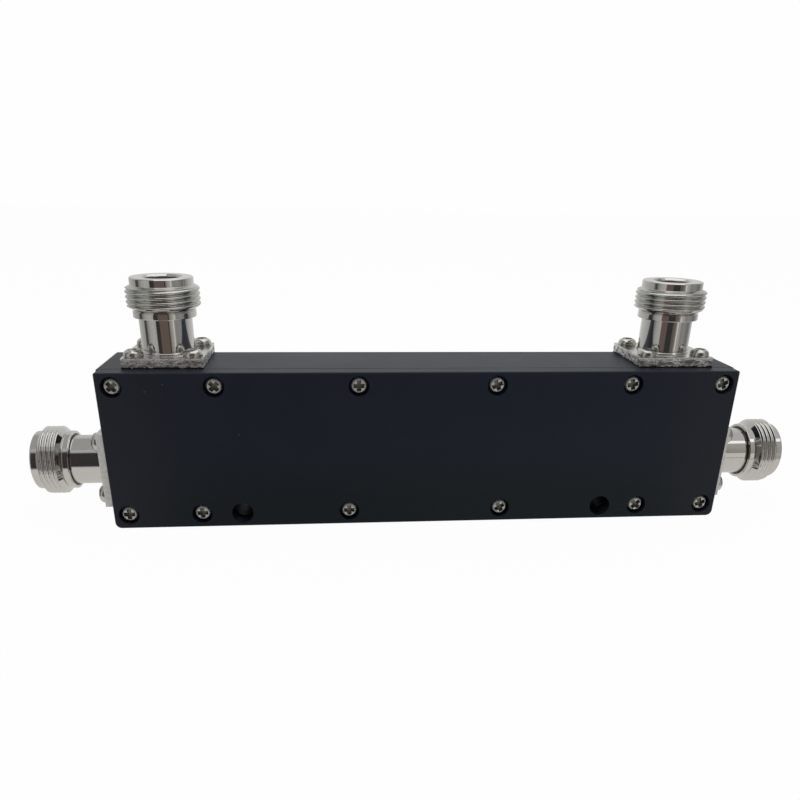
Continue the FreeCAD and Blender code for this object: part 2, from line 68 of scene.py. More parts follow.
def startEdit():
    bpy.ops.object.mode_set(mode="EDIT")


def endEdit():
    bpy.ops.object.mode_set(mode="OBJECT")


# Add a primitive with its size and place in its mesh
def addPrimitive(operator, **settings):
    deselectAll()
    operator(**settings)
    bpy.ops.object.transform_apply(location=True, rotation=True, scale=True)
    return bpy.context.object


# Select the vertices, faces or edges of the mesh in edit mode that pass a test
def pickVerts(test):
    bpy.ops.mesh.select_all(action="DESELECT")
    mesh = bmesh.from_edit_mesh(bpy.context.object.data)
    for vert in mesh.verts:
        vert.select_set(test(vert.co))
    mesh.select_flush(True)
    bmesh.update_edit_mesh(bpy.context.object.data)


def pickFaces(test):
    bpy.ops.mesh.select_all(action="DESELECT")
    mesh = bmesh.from_edit_mesh(bpy.context.object.data)
    for face in mesh.faces:
        face.select_set(test(face.normal))
    bmesh.update_edit_mesh(bpy.context.object.data)


def pickEdges(test):
    bpy.ops.mesh.select_all(action="DESELECT")
    mesh = bmesh.from_edit_mesh(bpy.context.object.data)
    for edge in mesh.edges:
        edge.select_set(test(edge.verts[0].co, edge.verts[1].co))
    bmesh.update_edit_mesh(bpy.context.object.data)


def turnOutwards():
    bpy.ops.mesh.select_all(action="SELECT")
    bpy.ops.mesh.normals_make_consistent(inside=False)


# Extrude what is selected from one radius and height to the next
def extrudeStep(operator, start, end):
    (radius, height), (nextRadius, nextHeight) = start, end
    operator(TRANSFORM_OT_translate={"value": (0, 0, nextHeight - height)})
    share = nextRadius / radius
    bpy.ops.transform.resize(value=(share, share, 1), center_override=(0, 0, nextHeight))


# Add a ring beside each end of the long faces, so that they stay flat in the shading
def holdEdges(profile, margin):
    held = []
    shortest = 3 * margin
    for (radius, height), (nextRadius, nextHeight) in zip(profile, profile[1:] + profile[:1]):
        held.append((radius, height))
        wide = nextRadius - radius
        high = nextHeight - height
        length = math.hypot(wide, high)
        if length > shortest:
            for share in (margin / length, 1 - margin / length):
                held.append((radius + wide * share, height + high * share))
    return held


# Turn a closed shape of (radius, height) as on a lathe
def turnProfile(name, profile, segments):
    radius, height = profile[0]
    piece = addPrimitive(bpy.ops.mesh.primitive_circle_add, vertices=segments, radius=radius,
                         location=(0, 0, height))
    piece.name = name
    startEdit()
    bpy.ops.mesh.select_all(action="SELECT")
    for start, end in zip(profile, profile[1:] + profile[:1]):
        extrudeStep(bpy.ops.mesh.extrude_edges_move, start, end)
    bpy.ops.mesh.select_all(action="SELECT")
    bpy.ops.mesh.remove_doubles(threshold=mergeDistance)
    turnOutwards()
    endEdit()
    return piece


def applyModifiers(piece):
    makeActive(piece)
    for modifier in list(piece.modifiers):
        bpy.ops.object.modifier_apply(modifier=modifier.name)


def bevelSharp(piece, width, steps=2):
    modifier = piece.modifiers.new("edgeBreak", "BEVEL")
    modifier.width = width
    modifier.segments = steps
    modifier.limit_method = "ANGLE"
    modifier.angle_limit = sharpAngle
    modifier.miter_outer = "MITER_ARC"
    applyModifiers(piece)


def removePiece(piece):
    bpy.data.objects.remove(piece, do_unlink=True)


# Boolean of two closed pieces, the second one is used up
def combine(piece, other, operation):
    modifier = piece.modifiers.new("join", "BOOLEAN")
    modifier.operation = operation
    modifier.solver = "EXACT"
    modifier.material_mode = "TRANSFER" if other.data.materials else "INDEX"
    modifier.object = other
    applyModifiers(piece)
    removePiece(other)


# A copy with its own mesh, its place in the mesh
def copyPiece(piece, name, matrix):
    twin = bpy.data.objects.new(name, piece.data.copy())
    bpy.context.scene.collection.objects.link(twin)
    twin.data.transform(matrix)
    return twin


def joinPieces(pieces, name):
    deselectAll()
    for piece in pieces:
        piece.select_set(True)
    bpy.context.view_layer.objects.active = pieces[0]
    bpy.ops.object.join()
    pieces[0].name = name
    return pieces[0]


def smoothShade(piece):
    makeActive(piece)
    bpy.ops.object.shade_smooth_by_angle(angle=sharpAngle)


def finishPiece(piece, nodeName, materials=()):
    for material in materials:
        piece.data.materials.append(material)
    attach(piece, "root")
    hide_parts(nodeName)


def turnAbout(axis, degrees):
    return Matrix.Rotation(math.radians(degrees), 4, axis)


# Node helpers

def addNode(tree, kind, **settings):
    node = tree.nodes.new(kind)
    for name, value in settings.items():
        setattr(node, name, value)
    return node


# Link another node's output to an input, or give it a plain value
def feed(tree, value, target):
    if isinstance(value, bpy.types.NodeSocket):
        tree.links.new(value, target)
    elif target.type == "RGBA":
        target.default_value = (*value, 1)
    else:
        target.default_value = value


def mathNode(tree, operation, *values):
    node = addNode(tree, "ShaderNodeMath", operation=operation)
    for value, target in zip(values, node.inputs):
        feed(tree, value, target)
    return node.outputs[0]


def splitPlace(tree, place):
    node = addNode(tree, "ShaderNodeSeparateXYZ")
    feed(tree, place, node.inputs["Vector"])
    return node.outputs


def mixColours(tree, mask, first, second):
    node = addNode(tree, "ShaderNodeMix", data_type="RGBA")
    for name, value in (("Factor", mask), ("A", first), ("B", second)):
        feed(tree, value, node.inputs[name])
    return node.outputs["Result"]


def mapRange(tree, value, source=(0, 1), target=(0, 1), easing="LINEAR"):
    node = addNode(tree, "ShaderNodeMapRange", interpolation_type=easing)
    names = ("Value", "From Min", "From Max", "To Min", "To Max")
    for name, level in zip(names, (value, *source, *target)):
        feed(tree, level, node.inputs[name])
    return node.outputs["Result"]


def addNoise(tree, place, scale, detail, roughness):
    node = addNode(tree, "ShaderNodeTexNoise")
    names = ("Vector", "Scale", "Detail", "Roughness")
    for name, value in zip(names, (place, scale, detail, roughness)):
        feed(tree, value, node.inputs[name])
    return node.outputs["Fac"]


# A colour ramp of (position, colour or grey)
def addRamp(tree, factor, stops):
    node = addNode(tree, "ShaderNodeValToRGB")
    elements = node.color_ramp.elements
    while len(elements) > 1:
        elements.remove(elements[-1])
    elements[0].position = stops[0][0]
    for number, (position, value) in enumerate(stops):
        element = elements.new(position) if number else elements[0]
        colour = (value, value, value) if isinstance(value, (int, float)) else value
        element.color = (*colour, 1)
    feed(tree, factor, node.inputs["Fac"])
    return node.outputs["Color"]


# An empty shader node group: inputs are (name, kind, value), every output is a float
def newGroup(name, inputs, outputs):
    tree = bpy.data.node_groups.new(name, "ShaderNodeTree")
    for socketName, kind, value in inputs:
        socket = tree.interface.new_socket(name=socketName, in_out="INPUT", socket_type=kind)
        socket.default_value = value
    for socketName in outputs:
        tree.interface.new_socket(name=socketName, in_out="OUTPUT", socket_type="NodeSocketFloat")
    return tree, addNode(tree, "NodeGroupInput"), addNode(tree, "NodeGroupOutput")


def useGroup(tree, group, **values):
    node = addNode(tree, "ShaderNodeGroup", node_tree=group)
    for name, value in values.items():
        feed(tree, value, node.inputs[name])
    return node.outputs


def newMaterial(name):
    material = bpy.data.materials.new(name)
    material.use_nodes = True
    tree = material.node_tree
    shader = [node for node in tree.nodes if node.type == "BSDF_PRINCIPLED"][0]
    place = addNode(tree, "ShaderNodeTexCoord")
    return material, tree, shader, place.outputs["Object"]


# Colour, roughness and bump of a material's shader
def dressShader(tree, shader, colour, roughness, height, marks):
    bump = addNode(tree, "ShaderNodeBump")
    feed(tree, marks["strength"], bump.inputs["Strength"])
    feed(tree, marks["depth"], bump.inputs["Distance"])
    feed(tree, height, bump.inputs["Height"])
    feed(tree, colour, shader.inputs["Base Color"])
    feed(tree, roughness, shader.inputs["Roughness"])
    feed(tree, bump.outputs["Normal"], shader.inputs["Normal"])


# Shared surface effects

noiseShapes = {                     # detail and roughness
    "Fine": (3, 0.6),
    "Broad": (4, 0.55),
    "Lines": (2, 0.5),
}


# Grain of a plated or blasted surface, as a fine height and a blotchy mask
def makeSurfaceGrain():
    tree, given, result = newGroup(
        "surfaceGrain",
        [("Place", "NodeSocketVector", (0, 0, 0)), ("Fine", "NodeSocketFloat", 4000.0),
         ("Broad", "NodeSocketFloat", 120.0)],
        ["Height", "Blotch"])
    for layer, output in (("Fine", "Height"), ("Broad", "Blotch")):
        noise = addNoise(tree, given.outputs["Place"], given.outputs[layer], *noiseShapes[layer])
        feed(tree, noise, result.inputs[output])
    return tree


# Sparse bright specks of lint and dust, as a mask
def makeLintSpecks():
    tree, given, result = newGroup(
        "lintSpecks",
        [("Place", "NodeSocketVector", (0, 0, 0)), ("Scale", "NodeSocketFloat", 300.0),
         ("Size", "NodeSocketFloat", 0.08), ("Share", "NodeSocketFloat", 0.05)],
        ["Mask"])
    cells = addNode(tree, "ShaderNodeTexVoronoi")
    feed(tree, given.outputs["Place"], cells.inputs["Vector"])
    feed(tree, given.outputs["Scale"], cells.inputs["Scale"])
    chosen = addNode(tree, "ShaderNodeSeparateColor")
    feed(tree, cells.outputs["Color"], chosen.inputs["Color"])
    near = mathNode(tree, "LESS_THAN", cells.outputs["Distance"], given.outputs["Size"])
    few = mathNode(tree, "LESS_THAN", chosen.outputs["Red"], given.outputs["Share"])
    feed(tree, mathNode(tree, "MULTIPLY", near, few), result.inputs["Mask"])
    return tree


# Fine lines left by turning, packed along the axis with the largest stretch
def makeLatheLines():
    tree, given, result = newGroup(
        "latheLines",
        [("Place", "NodeSocketVector", (0, 0, 0)), ("Stretch", "NodeSocketVector", (30, 30, 9000))],
        ["Height"])
    scaled = addNode(tree, "ShaderNodeVectorMath", operation="MULTIPLY")
    feed(tree, given.outputs["Place"], scaled.inputs[0])
    feed(tree, given.outputs["Stretch"], scaled.inputs[1])
    feed(tree, addNoise(tree, scaled.outputs[0], 1, *noiseShapes["Lines"]), result.inputs["Height"])
    return tree


surfaceGrain = makeSurfaceGrain()
lintSpecks = makeLintSpecks()
latheLines = makeLatheLines()


# Materials

blackValues = {
    "colour": (0.0066, 0.0088, 0.0178),
    "paleColour": (0.0094, 0.0120, 0.0230),
    "footColour": (0.0050, 0.0080, 0.0120),
    "footHeights": (0.020, 0.004),  # less blue towards the lower edge
    "endColour": (0.0145, 0.0140, 0.0215),
    "endReach": (0.050, 0.074),     # paler towards both ends
    "lintColour": (0.045, 0.045, 0.05),
    "lint": {"Scale": 260.0, "Size": 0.05, "Share": 0.03},
    "tint": (0.80, 0.95, 1.0),
    "specular": 0.28,
    "roughness": (0.40, 0.50),
    "grain": {"Fine": 5200.0, "Broad": 90.0},
    "strength": 0.6,
    "depth": 0.012 * mm,
}


def makeBlackFinish(values):
    material, tree, shader, place = newMaterial("blackSatin")
    feed(tree, values["specular"], shader.inputs["Specular IOR Level"])
    feed(tree, values["tint"], shader.inputs["Specular Tint"])
    grain = useGroup(tree, surfaceGrain, Place=place, **values["grain"])
    lint = useGroup(tree, lintSpecks, Place=place, **values["lint"])
    parts = splitPlace(tree, place)
    foot = mapRange(tree, parts["Z"], values["footHeights"], easing="SMOOTHSTEP")
    reach = mathNode(tree, "ABSOLUTE", parts["X"])
    ends = mapRange(tree, reach, values["endReach"], easing="SMOOTHSTEP")
    colour = mixColours(tree, grain["Blotch"], values["colour"], values["paleColour"])
    for mask, name in ((foot, "footColour"), (ends, "endColour"), (lint["Mask"], "lintColour")):
        colour = mixColours(tree, mask, colour, values[name])
    roughness = mapRange(tree, grain["Blotch"], target=values["roughness"])
    dressShader(tree, shader, colour, roughness, grain["Height"], values)
    return material


nickelValues = {
    "turned": {"bright": (0.70, 0.69, 0.665), "dull": (0.64, 0.63, 0.60), "roughness": (0.06, 0.12)},
    "flangeFace": {"bright": (0.68, 0.67, 0.64), "dull": (0.55, 0.54, 0.515), "roughness": (0.14, 0.24)},
    # cornerShade: nickel painted dark as shade under the ring, on its underside and the top of the neck
    "cornerShade": {"bright": (0.12, 0.118, 0.112), "dull": (0.05, 0.049, 0.046), "roughness": (0.30, 0.45)},
    # thread: the turned nickel painted darker, as shade on the threads of the upright jacks
    "thread": {"bright": (0.62, 0.62, 0.585), "dull": (0.50, 0.50, 0.47), "roughness": (0.14, 0.24)},
}
toolLines = {
    "upright": (40, 40, 9000),      # stretch of the lines on a jack that stands up
    "lengthwise": (9000, 40, 40),
    "grain": {"Fine": 2600.0, "Broad": 260.0},
    "strength": 0.5,
    "depth": 0.0012 * mm,
}


# Bright nickel with fine tool lines round the axis of its jack
def makeNickel(name, surface, direction):
    values = nickelValues[surface]
    material, tree, shader, place = newMaterial(name)
    feed(tree, 1, shader.inputs["Metallic"])
    grain = useGroup(tree, surfaceGrain, Place=place, **toolLines["grain"])
    lines = useGroup(tree, latheLines, Place=place, Stretch=toolLines[direction])
    colour = mixColours(tree, grain["Blotch"], values["bright"], values["dull"])
    roughness = mapRange(tree, grain["Blotch"], target=values["roughness"])
    dressShader(tree, shader, colour, roughness, lines["Height"], toolLines)
    return material


cutValues = {
    "sawn": {
        "bright": (0.88, 0.87, 0.84), "dull": (0.24, 0.235, 0.225), "roughness": (0.20, 0.50),
        "grain": {"Fine": 1500.0, "Broad": 780.0}, "stretch": (1, 1, 2.2), "depth": 0.24 * mm,
        # foot and rim: heights of the painted shadow at the bottom and the painted highlight at the top
        # of the sides
        "strength": 0.7, "metallic": 0.75, "foot": 36.50 * mm, "rim": 38.20 * mm,
    },
    "milled": {
        "bright": (0.80, 0.795, 0.77), "dull": (0.70, 0.695, 0.665), "roughness": (0.45, 0.58),
        "grain": {"Fine": 2200.0, "Broad": 1300.0}, "stretch": (1, 1, 1), "depth": 0.02 * mm,
        "strength": 0.7, "metallic": 0.35, "foot": 0.0, "rim": 1.0,    # beyond the flange, unseen
    },
}
cutMarks = {
    "blotches": (0.40, 0.60),       # from all bright to all dull
    # The dark foot colour is a painted shadow along the bottom of the flange's sides, where it sits on
    # the housing
    "footColour": (0.035, 0.035, 0.033),
    "ragged": 0.9 * mm,             # how far the painted shadow at the foot and the painted highlight at the rim run up and down
    "shadowDrop": 0.45 * mm,
    "highlightRise": 0.35 * mm,
}


# Sawn or milled sides of a flange, rough under the nickel, with a painted shadow at the foot and a
# painted highlight at the rim
def makeCutNickel(name, cut):
    values = cutValues[cut]
    material, tree, shader, place = newMaterial(name)
    feed(tree, values["metallic"], shader.inputs["Metallic"])
    drawn = addNode(tree, "ShaderNodeMapping")
    feed(tree, place, drawn.inputs["Vector"])
    feed(tree, values["stretch"], drawn.inputs["Scale"])
    grain = useGroup(tree, surfaceGrain, Place=drawn.outputs["Vector"], **values["grain"])
    blotches = mapRange(tree, grain["Blotch"], cutMarks["blotches"])
    height = splitPlace(tree, place)["Z"]
    ragged = mathNode(tree, "MULTIPLY", grain["Blotch"], cutMarks["ragged"])
    # Painted shadow below the ragged foot line, painted highlight above the ragged rim line
    shadowTop = mathNode(tree, "ADD", ragged, values["foot"] - cutMarks["shadowDrop"])
    highlightFoot = mathNode(tree, "SUBTRACT", values["rim"] + cutMarks["highlightRise"], ragged)
    rim = mathNode(tree, "GREATER_THAN", height, highlightFoot)
    foot = mathNode(tree, "LESS_THAN", height, shadowTop)
    colour = mixColours(tree, blotches, values["bright"], values["dull"])
    colour = mixColours(tree, rim, colour, values["bright"])
    colour = mixColours(tree, foot, colour, cutMarks["footColour"])
    roughness = mapRange(tree, blotches, target=values["roughness"])
    dressShader(tree, shader, colour, roughness, grain["Height"], values)
    return material


plainValues = {
    "screwNickel": {
        "bright": (0.74, 0.74, 0.72), "dull": (0.50, 0.50, 0.48), "metallic": 0.7,
        "roughness": (0.24, 0.40), "blotches": 900, "strength": 0.5, "depth": 0.03 * mm,
    },
    "brightScrewNickel": {
        "bright": (0.74, 0.73, 0.70), "dull": (0.50, 0.49, 0.465), "metallic": 1,
        "roughness": (0.10, 0.24), "blotches": 900, "strength": 0.5, "depth": 0.02 * mm,
    },
    # Nickel painted dark as shade, for the cross recesses of the cover screws
    "recessShadeNickel": {
        "bright": (0.30, 0.30, 0.275), "dull": (0.13, 0.13, 0.12), "metallic": 1,
        "roughness": (0.35, 0.50), "blotches": 900, "strength": 0.5, "depth": 0.03 * mm,
    },
    "whiteFluoroplastic": {
        "bright": (0.86, 0.86, 0.84), "dull": (0.80, 0.80, 0.78), "metallic": 0,
        "roughness": (0.35, 0.50), "blotches": 300, "strength": 0.5, "depth": 0.01 * mm,
    },
    "goldPlate": {
        "bright": (0.83, 0.60, 0.27), "dull": (0.72, 0.50, 0.22), "metallic": 1,
        "roughness": (0.16, 0.28), "blotches": 400, "strength": 0.5, "depth": 0.004 * mm,
    },
    "silverPlate": {
        "bright": (0.82, 0.80, 0.76), "dull": (0.66, 0.64, 0.60), "metallic": 1,
        "roughness": (0.22, 0.38), "blotches": 200, "strength": 0.5, "depth": 0.01 * mm,
    },
}
grainShare = 8                      # the grain is this many times finer than the blotches


# A finish with mild mottling and grain, for the screws and the inner pieces
def makePlain(name):
    values = plainValues[name]
    material, tree, shader, place = newMaterial(name)
    feed(tree, values["metallic"], shader.inputs["Metallic"])
    fine = values["blotches"] * grainShare
    grain = useGroup(tree, surfaceGrain, Place=place, Fine=fine, Broad=values["blotches"])
    colour = mixColours(tree, grain["Blotch"], values["bright"], values["dull"])
    roughness = mapRange(tree, grain["Blotch"], target=values["roughness"])
    dressShader(tree, shader, colour, roughness, grain["Height"], values)
    return material


blackSatin = makeBlackFinish(blackValues)
plainFinishes = {name: makePlain(name) for name in plainValues}
shellFinishes = {                   # in the order of a shell's material slots
    "upright": [
        makeNickel("nickelUpright", "turned", "upright"),
        makeCutNickel("nickelSawn", "sawn"),
        makeNickel("nickelFlangeUpright", "flangeFace", "upright"),
        makeNickel("nickelCornerShadeUpright", "cornerShade", "upright"),
        makeNickel("nickelThreadShadedUpright", "thread", "upright"),
    ],
    "lengthwise": [
        makeNickel("nickelLengthwise", "turned", "lengthwise"),
        makeCutNickel("nickelMilled", "milled"),
        makeNickel("nickelFlangeLengthwise", "flangeFace", "lengthwise"),
        makeNickel("nickelCornerShadeLengthwise", "cornerShade", "lengthwise"),
    ],
}
shellSlots = {"turned": 0, "cut": 1, "flangeFace": 2, "cornerShade": 3, "thread": 4}
print("materials ready")


# Jack shells: turned body, helical thread, square flange

jackNames = ["left_end", "right_end", "left_top", "right_top"]

shellSizes = {
    "flangeSide": 17.5 * mm,
    "flangeThickness": 2.25 * mm,
    "flangeCorner": 0.9 * mm,
    "flangeSkirt": 5.0 * mm,        # radius of the plate's own hole, inside the turned body
    "holeSpacing": 12.7 * mm,
    "holeRadius": 1.4 * mm,
    "baseRadius": 5.98 * mm,
    "baseHeight": 2.38 * mm,
    "baseTop": 2.65 * mm,
    "neckRadius": 5.75 * mm,
    "ringLow": 9.9 * mm,
    "ringHigh": 11.2 * mm,
    "ringRadius": 6.8 * mm,
    "cornerShadeWidth": 0.45 * mm,       # width of the painted shade on the ring's underside, in the corner of neck and ring
    "undercutRadius": 6.45 * mm,
    "undercutTop": 11.4 * mm,
    "taperTop": 12.35 * mm,
    "crestRadius": 7.94 * mm,
    "threadTop": 16.1 * mm,
    "collarLow": 16.7 * mm,
    "collarRadius": 6.8 * mm,
    "collarChamfer": 0.2 * mm,
    "height": 18.349 * mm,
    "mouthRadius": 4.05 * mm,
    "mouthChamfer": 0.45 * mm,
    "shoulderHeight": 9.35 * mm,
    "lineBoreRadius": 3.5 * mm,
    "insulatorRadius": 3.9 * mm,
    "insulatorStep": 8.55 * mm,
    "pitch": 25.4 / 24 * mm,
    "threadDepth": 0.38 * mm,
    "grooveStart": 11.02 * mm,      # height of the groove's middle where its helix starts
    "grooveWidth": 0.93 * mm,
    "edgeRound": 0.07 * mm,
    "holdMargin": 0.15 * mm,
}

# Section of one thread groove: share of its half width, share of its depth
grooveShape = [(1.0, 0.0), (0.72, 0.15), (0.47, 0.52), (0.30, 0.80), (0.18, 0.93), (0.06, 1.0)]

shellMesh = {
    "segments": 128,
    "cutterOver": 0.08 * mm,        # a cutter runs past the faces that it cuts
    "helixOver": 0.4 * mm,
    "helixMerge": 0.001 * mm,
    "drillOver": 1 * mm,
    "skirtSides": 64,
    "holeSides": 48,
    "cornerSteps": 6,
    "heightCuts": 7,
    "sideCuts": 54,
    "sawnDepth": 0.022 * mm,        # how far the sides of a plate stand in or out
    "milledShare": 0.3,
    "roughBand": 0.3 * mm,         # only what lies this near a side moves
    "roughFoot": 0.1 * mm,
    "touch": 0.01 * mm,
}

# How near a face's middle lies to the surface whose finish it gets
finishBands = {
    "side": 0.4 * mm,
    "face": 0.1 * mm,
    "mouth": 0.1 * mm,
    "ring": 0.16 * mm,
    "collar": 0.15 * mm,
    "steep": 0.7,                   # a side's normal has less than this share along the jack
}


# The helical groove of the coupling thread, from below the taper out past the collar
def makeThreadCutter(sizes):
    crest = sizes["crestRadius"]
    low = sizes["grooveStart"]
    halfWidth = sizes["grooveWidth"] / 2
    turns = math.ceil((sizes["collarLow"] + shellMesh["helixOver"] - low) / sizes["pitch"])
    side = [(crest + shellMesh["cutterOver"], halfWidth)]
    for width, depth in grooveShape:
        side.append((crest - depth * sizes["threadDepth"], width * halfWidth))
    corners = side + [(radius, -rise) for radius, rise in reversed(side)]
    cutter = addPrimitive(bpy.ops.mesh.primitive_circle_add, vertices=len(corners), radius=crest,
                          location=(0, 0, 0))
    for vert, (radius, rise) in zip(cutter.data.vertices, corners):
        vert.co = Vector((radius, 0, low + rise))
    screw = cutter.modifiers.new("helix", "SCREW")
    screw.axis = "Z"
    screw.screw_offset = sizes["pitch"]
    screw.iterations = turns
    screw.steps = shellMesh["segments"]
    screw.render_steps = shellMesh["segments"]
    screw.use_merge_vertices = True
    screw.merge_threshold = shellMesh["helixMerge"]
    applyModifiers(cutter)
    startEdit()
    bpy.ops.mesh.select_all(action="SELECT")
    bpy.ops.mesh.fill_holes(sides=len(corners))
    turnOutwards()
    endEdit()
    return cutter


# Square plate with rounded corners, its sides cut up so that they can be roughened
def makeFlangePlate(sizes):
    half = sizes["flangeSide"] / 2
    thick = sizes["flangeThickness"]
    straight = half - sizes["flangeCorner"]
    onSide = half - shellMesh["touch"]
    plate = addPrimitive(bpy.ops.mesh.primitive_cube_add, size=1, location=(0, 0, thick / 2),
                         scale=(2 * half, 2 * half, thick))
    startEdit()
    pickEdges(lambda a, b: abs(a.z - b.z) > thick / 2)
    bpy.ops.mesh.bevel(offset=sizes["flangeCorner"], segments=shellMesh["cornerSteps"])
    pickEdges(lambda a, b: abs(a.z - b.z) > thick / 2)
    bpy.ops.mesh.subdivide(number_cuts=shellMesh["heightCuts"])
    pickEdges(lambda a, b: min(abs(a.y), abs(b.y)) > onSide and abs(a.x - b.x) > straight)
    bpy.ops.mesh.subdivide(number_cuts=shellMesh["sideCuts"])
    pickEdges(lambda a, b: min(abs(a.x), abs(b.x)) > onSide and abs(a.y - b.y) > straight)
    bpy.ops.mesh.subdivide(number_cuts=shellMesh["sideCuts"])
    endEdit()
    return plate


# Drill right through the thickness of the flange
def drillFlange(piece, radius, x, y, sides):
    low = -shellMesh["drillOver"]
    high = shellSizes["flangeThickness"] + shellMesh["drillOver"]
    drill = addPrimitive(bpy.ops.mesh.primitive_cylinder_add, vertices=sides, radius=radius,
                         depth=high - low, location=(x, y, (low + high) / 2))
    combine(piece, drill, "DIFFERENCE")


# The master shell, seat face on z = 0, mouth up
def makeJackShell(sizes):
    profile = [
        (sizes["insulatorRadius"], 0),
        (sizes["baseRadius"], 0),
        (sizes["baseRadius"], sizes["baseHeight"]),
        (sizes["neckRadius"], sizes["baseTop"]),
        (sizes["neckRadius"], sizes["ringLow"]),
        # this step marks off the band of the ring's underside that gets the painted shade
        (sizes["neckRadius"] + sizes["cornerShadeWidth"], sizes["ringLow"]),
        (sizes["ringRadius"], sizes["ringLow"]),
        (sizes["ringRadius"], sizes["ringHigh"]),
        (sizes["undercutRadius"], sizes["ringHigh"]),
        (sizes["undercutRadius"], sizes["undercutTop"]),
        (sizes["crestRadius"], sizes["taperTop"]),
        (sizes["crestRadius"], sizes["threadTop"]),
        (sizes["collarRadius"], sizes["collarLow"]),
        (sizes["collarRadius"], sizes["height"] - sizes["collarChamfer"]),
        (sizes["collarRadius"] - sizes["collarChamfer"], sizes["height"]),
        (sizes["mouthRadius"] + sizes["mouthChamfer"], sizes["height"]),
        (sizes["mouthRadius"], sizes["height"] - sizes["mouthChamfer"]),
        (sizes["mouthRadius"], sizes["shoulderHeight"]),
        (sizes["lineBoreRadius"], sizes["shoulderHeight"]),
        (sizes["lineBoreRadius"], sizes["insulatorStep"]),
        (sizes["insulatorRadius"], sizes["insulatorStep"]),
    ]
    shell = turnProfile("jackShell", holdEdges(profile, sizes["holdMargin"]), shellMesh["segments"])
    bevelSharp(shell, sizes["edgeRound"])
    combine(shell, makeThreadCutter(sizes), "DIFFERENCE")
    plate = makeFlangePlate(sizes)
    drillFlange(plate, sizes["flangeSkirt"], 0, 0, shellMesh["skirtSides"])
    combine(shell, plate, "UNION")
    reach = sizes["holeSpacing"] / 2
    for x, y in ((-reach, -reach), (-reach, reach), (reach, -reach), (reach, reach)):
        drillFlange(shell, sizes["holeRadius"], x, y, shellMesh["holeSides"])
    return shell


# The sides of a plate get the unevenness of the saw or, milder, of the cutter
def roughenSides(shell, direction, seed):
    inside = shellSizes["flangeSide"] / 2 - shellMesh["roughBand"]
    low = shellMesh["roughFoot"]
    high = shellSizes["flangeThickness"] + shellMesh["touch"]
    depth = shellMesh["sawnDepth"] * (1 if direction == "upright" else shellMesh["milledShare"])
    makeActive(shell)
    startEdit()
    pickVerts(lambda co: max(abs(co.x), abs(co.y)) > inside and low < co.z < high)
    bpy.ops.transform.vertex_random(offset=depth, uniform=0, normal=1, seed=seed)
    endEdit()


# Which finish a face of a shell gets, by its middle and its normal
def chooseFinish(middle, normal, direction):
    sizes = shellSizes
    radius = math.hypot(middle.x, middle.y)
    inside = sizes["flangeSide"] / 2 - finishBands["side"]
    onSide = max(abs(middle.x), abs(middle.y)) > inside and middle.z < sizes["flangeThickness"]
    if onSide and abs(normal.z) < finishBands["steep"]:
        return "cut"
    onFace = abs(middle.z - sizes["flangeThickness"]) < finishBands["face"]
    if onFace and normal.z > finishBands["steep"]:
        return "flangeFace"
    if radius < sizes["mouthRadius"] + finishBands["mouth"]:
        return "flangeFace"
    # Painted shade: faces just under the ring, in its corner with the neck, get the dark nickel
    underRing = abs(middle.z - sizes["ringLow"]) < finishBands["ring"]
    if underRing and radius < sizes["neckRadius"] + sizes["cornerShadeWidth"]:
        return "cornerShade"
    onThread = radius > sizes["collarRadius"] + finishBands["collar"] and middle.z > sizes["taperTop"]
    # The upright jacks' threads get the nickel painted darker as shade
    if onThread and direction == "upright":
        return "thread"
    return "turned"


# Seat and direction of one jack, read from its node's box
def jackPlace(name):
    low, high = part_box("jack_shell_" + name)
    middle = (low + high) / 2
    if name == "left_end":
        return Matrix.Translation((high.x, middle.y, middle.z)) @ turnAbout("Y", -90)
    if name == "right_end":
        return Matrix.Translation((low.x, middle.y, middle.z)) @ turnAbout("Y", 90)
    return Matrix.Translation((middle.x, middle.y, low.z))


# Quarter turns, so that the thread starts elsewhere on each jack, and the first seed of the saw marks
shellTurns = {"left_end": 0, "right_end": 90, "left_top": 0, "right_top": 270}
firstSeed = 3

masterShell = makeJackShell(shellSizes)
for seed, name in enumerate(jackNames, start=firstSeed):
    direction = "upright" if name.endswith("top") else "lengthwise"
    shell = copyPiece(masterShell, "shell_" + name, turnAbout("Z", shellTurns[name]))
    roughenSides(shell, direction, seed)
    finishPiece(shell, "jack_shell_" + name, shellFinishes[direction])
    for face in shell.data.polygons:
        face.material_index = shellSlots[chooseFinish(face.center, face.normal, direction)]
    shell.data.transform(jackPlace(name))
    smoothShade(shell)
removePiece(masterShell)
print("jack shells ready")


# Screws: pan heads with a cross recess

coverScrew = {
    "headRadius": 1.75 * mm,
    "headHeight": 1.4 * mm,
    "rim": 0.55 * mm,
    "flat": 1.25 * mm,
    "shankRadius": 1.0 * mm,
    "length": 7.0 * mm,
    "recessDepth": 0.85 * mm,
    "recessSpan": 0.83,             # share of the head's width
}
flangeScrew = {
    "headRadius": 2.15 * mm,
    "headHeight": 1.6 * mm,
    "rim": 0.42 * mm,
    "flat": 0.75 * mm,
    "shankRadius": 1.25 * mm,
    "length": 6.0 * mm,
    "recessDepth": 0.7 * mm,
    "recessSpan": 0.62,
}
headShape = {
    "sides": 48,
    "domeSteps": 7,
    "recessWidth": 0.32,            # of one arm of the cross, share of the head's width
    "recessTaper": 0.72,
    "edgeRound": 0.03 * mm,
}


